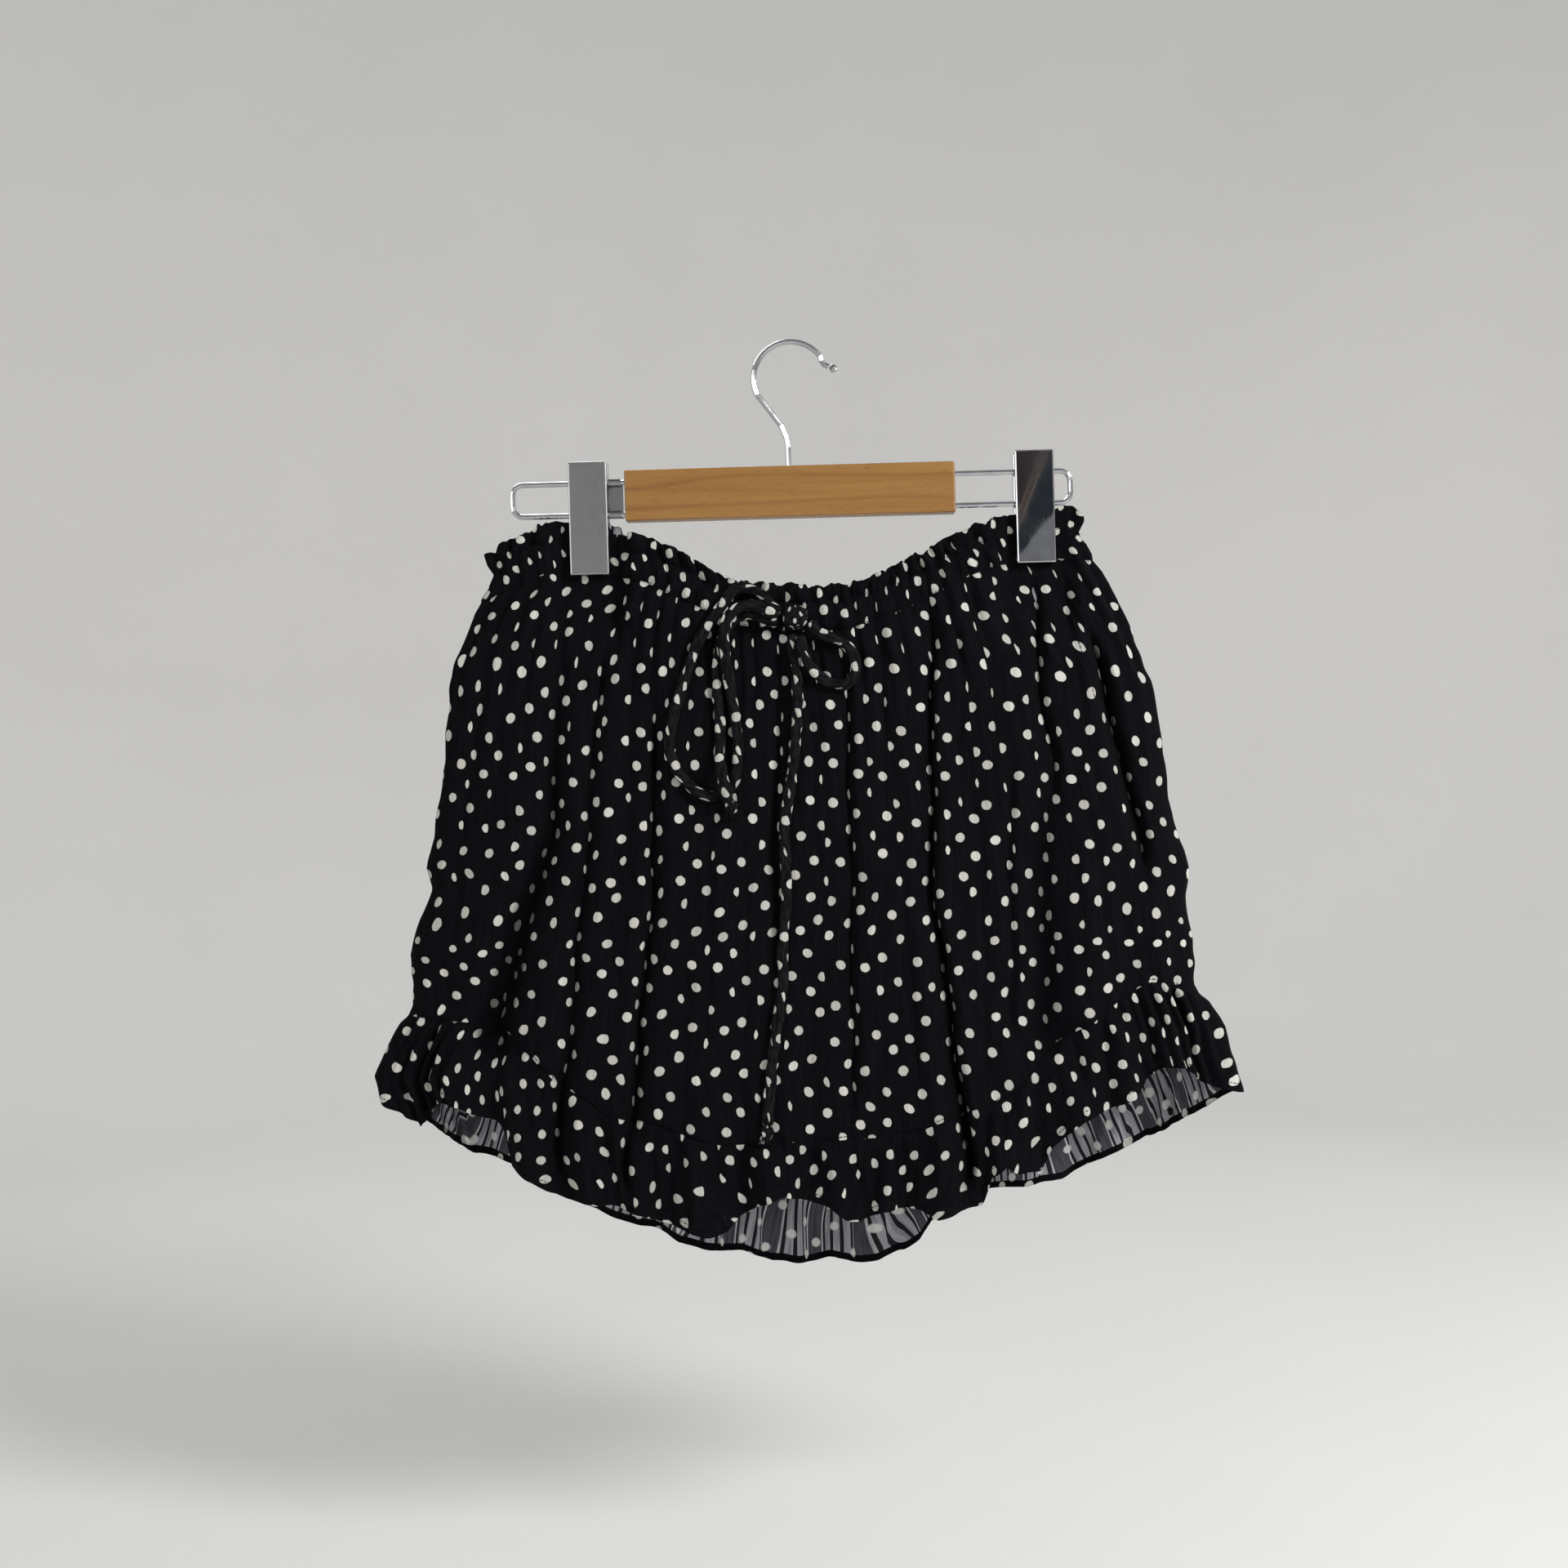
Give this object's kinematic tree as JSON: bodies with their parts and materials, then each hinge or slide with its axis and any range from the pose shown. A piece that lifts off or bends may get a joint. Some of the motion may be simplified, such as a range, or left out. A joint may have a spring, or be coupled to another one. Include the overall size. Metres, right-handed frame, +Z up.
{
  "type": "skort on a clip hanger",
  "caption": "Short gathered skort with a frilled drawstring waist, a bow and a hem ruffle, hanging from a wood and wire clip hanger by its hook",
  "frame": {"origin": "inside top of the hanger's hook, where a rail carries it", "axes": "+Z up; the garment's front faces -Y; +X to the right seen from the front"},
  "size_m": [0.5548, 0.0956, 0.6051],
  "materials": {
    "cotton": "crinkled cotton, near-black with off-white dots",
    "beech": "smooth satin",
    "chrome": "polished",
    "steel": "plated, polished"
  },
  "bodies": {
    "root": {"skirt_front": "cotton", "skirt_back": "cotton", "waist_front": "cotton", "waist_back": "cotton", "ruffle_front": "cotton", "ruffle_back": "cotton", "tie_loop_left": "cotton", "tie_loop_right": "cotton", "tie_tail_long": "cotton", "tie_tail_short": "cotton", "tie_knot": "cotton", "tie_end_long": "cotton", "tie_end_short": "cotton", "hanger_bar": "beech", "hanger_hook": "chrome", "hanger_hook_tip": "chrome", "hanger_wire_left": "chrome", "hanger_wire_right": "chrome", "clip_left_front": "steel", "clip_left_rear": "steel", "clip_left_slider": "steel", "clip_left_pin": "steel", "clip_left_spring": "steel", "clip_right_front": "steel", "clip_right_rear": "steel", "clip_right_slider": "steel", "clip_right_pin": "steel", "clip_right_spring": "steel"}
  },
  "joints": []
}
